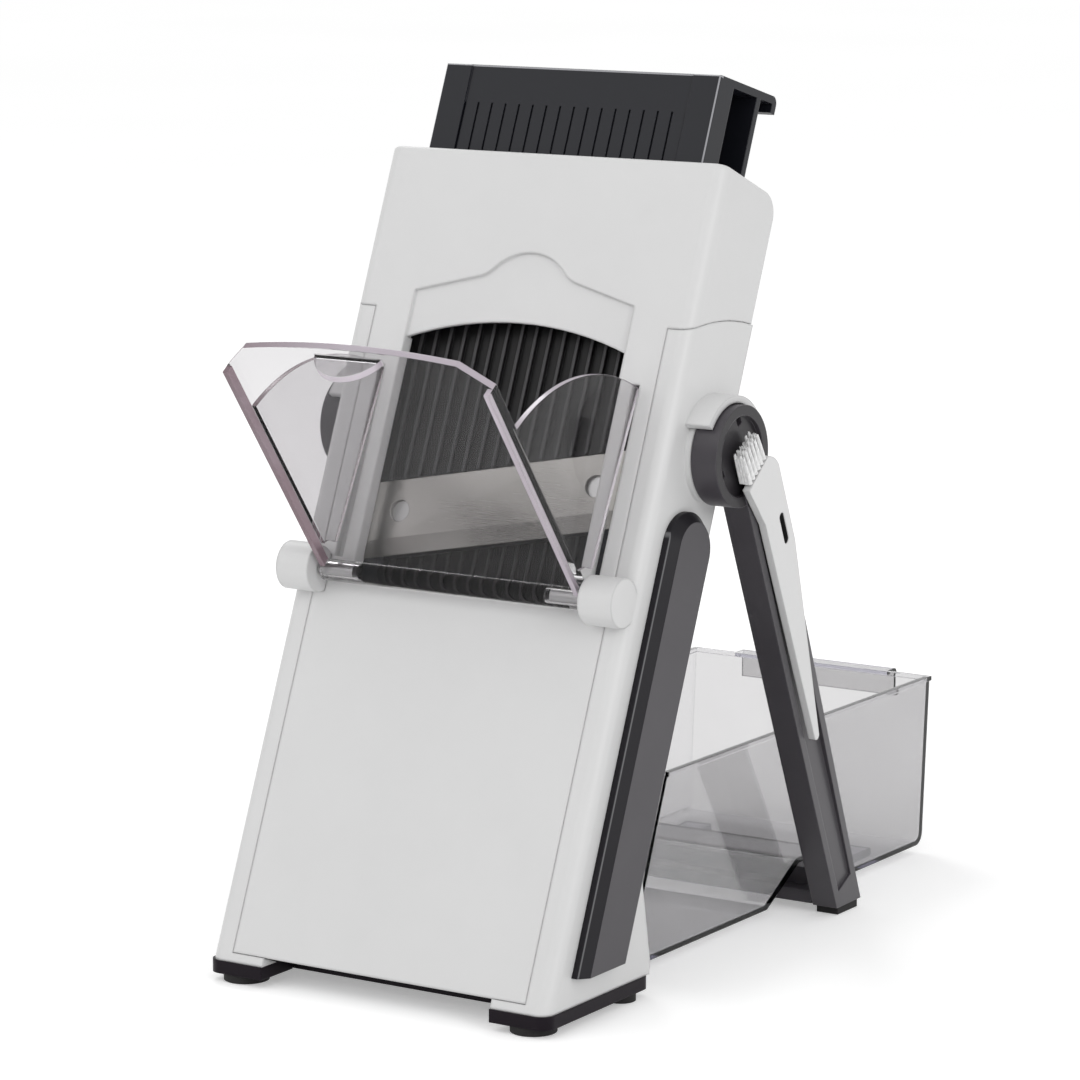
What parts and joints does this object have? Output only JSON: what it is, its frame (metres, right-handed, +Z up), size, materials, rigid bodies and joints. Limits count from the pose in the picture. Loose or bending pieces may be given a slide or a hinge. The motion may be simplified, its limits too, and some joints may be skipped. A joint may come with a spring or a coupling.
{
  "type": "upright mandoline slicer",
  "caption": "Leaning push-down mandoline slicer with a sprung blade carriage, clear chute door, folding rear legs, clear catch tray and clip-on cleaning brush.",
  "frame": {"origin": "middle of the bounding box on the floor under the feet", "axes": "+Z up, +X to the right seen from the front, +Y to the back; the front faces -Y"},
  "size_m": [0.159, 0.3086, 0.2906],
  "materials": {
    "white_plastic": "satin moulded white plastic",
    "grey_plastic": "fine-grained charcoal plastic",
    "dark_plastic": "satin charcoal plastic",
    "black_plastic": "matte black plastic",
    "rubber": "matte black rubber",
    "clear_plastic": "clear polished plastic",
    "blade_steel": "ground stainless steel",
    "pin_steel": "plain turned steel",
    "spring_steel": "drawn spring wire",
    "brush_plastic": "satin moulded white plastic",
    "bristle": "nylon bristles"
  },
  "bodies": {
    "housing": {"front_cover": "white_plastic", "side_frame_right": "white_plastic", "side_frame_left": "white_plastic", "side_trim_right": "grey_plastic", "side_trim_left": "grey_plastic", "base_shoe_right": "black_plastic", "base_shoe_left": "black_plastic", "foot_pads": "rubber", "base_tie": "black_plastic", "guide_rail_right": "grey_plastic", "guide_rail_left": "grey_plastic", "plate_beam_upper": "grey_plastic", "plate_beam_lower": "grey_plastic", "thickness_plate": "dark_plastic", "door_hinge_pins": "pin_steel", "leg_pivot_pins": "pin_steel", "cover_screws": "pin_steel", "return_springs": "spring_steel"},
    "carriage": {"handle": "dark_plastic", "food_plate": "dark_plastic", "blade": "blade_steel", "blade_rivets": "blade_steel", "carriage_frame": "dark_plastic", "handle_screws": "pin_steel"},
    "door": {"chute_door": "clear_plastic"},
    "legs": {"leg_right": "grey_plastic", "leg_left": "grey_plastic", "leg_crossbar": "grey_plastic", "leg_pads": "rubber"},
    "tray": {"catch_tray": "clear_plastic"},
    "brush": {"brush_handle": "brush_plastic", "brush_bristles": "bristle"}
  },
  "joints": [
    {"name": "carriage_slide", "type": "slide", "parent": "housing", "child": "carriage", "axis": [0, -0.3811, -0.9245], "range_m": [-0.06, 0.028], "stiffness_N_per_m": 250, "springref_m": -0.00588, "deforming": ["return_springs"]},
    {"name": "door_hinge", "type": "hinge", "parent": "housing", "child": "door", "pos_m": [0, -0.08905, 0.13029], "axis": [1, 0, 0], "range_deg": [-58.5, 0]},
    {"name": "leg_fold", "type": "hinge", "parent": "housing", "child": "legs", "pos_m": [0, -0.03765, 0.1713], "axis": [-1, 0, 0], "range_deg": [0, 25]},
    {"name": "tray_lift", "type": "slide", "parent": "housing", "child": "tray", "axis": [0, 0.3811, 0.9245], "range_m": [0, 0.04]},
    {"name": "brush_clip", "type": "slide", "parent": "legs", "child": "brush", "axis": [1, 0, 0], "range_m": [0, 0.02]}
  ]
}
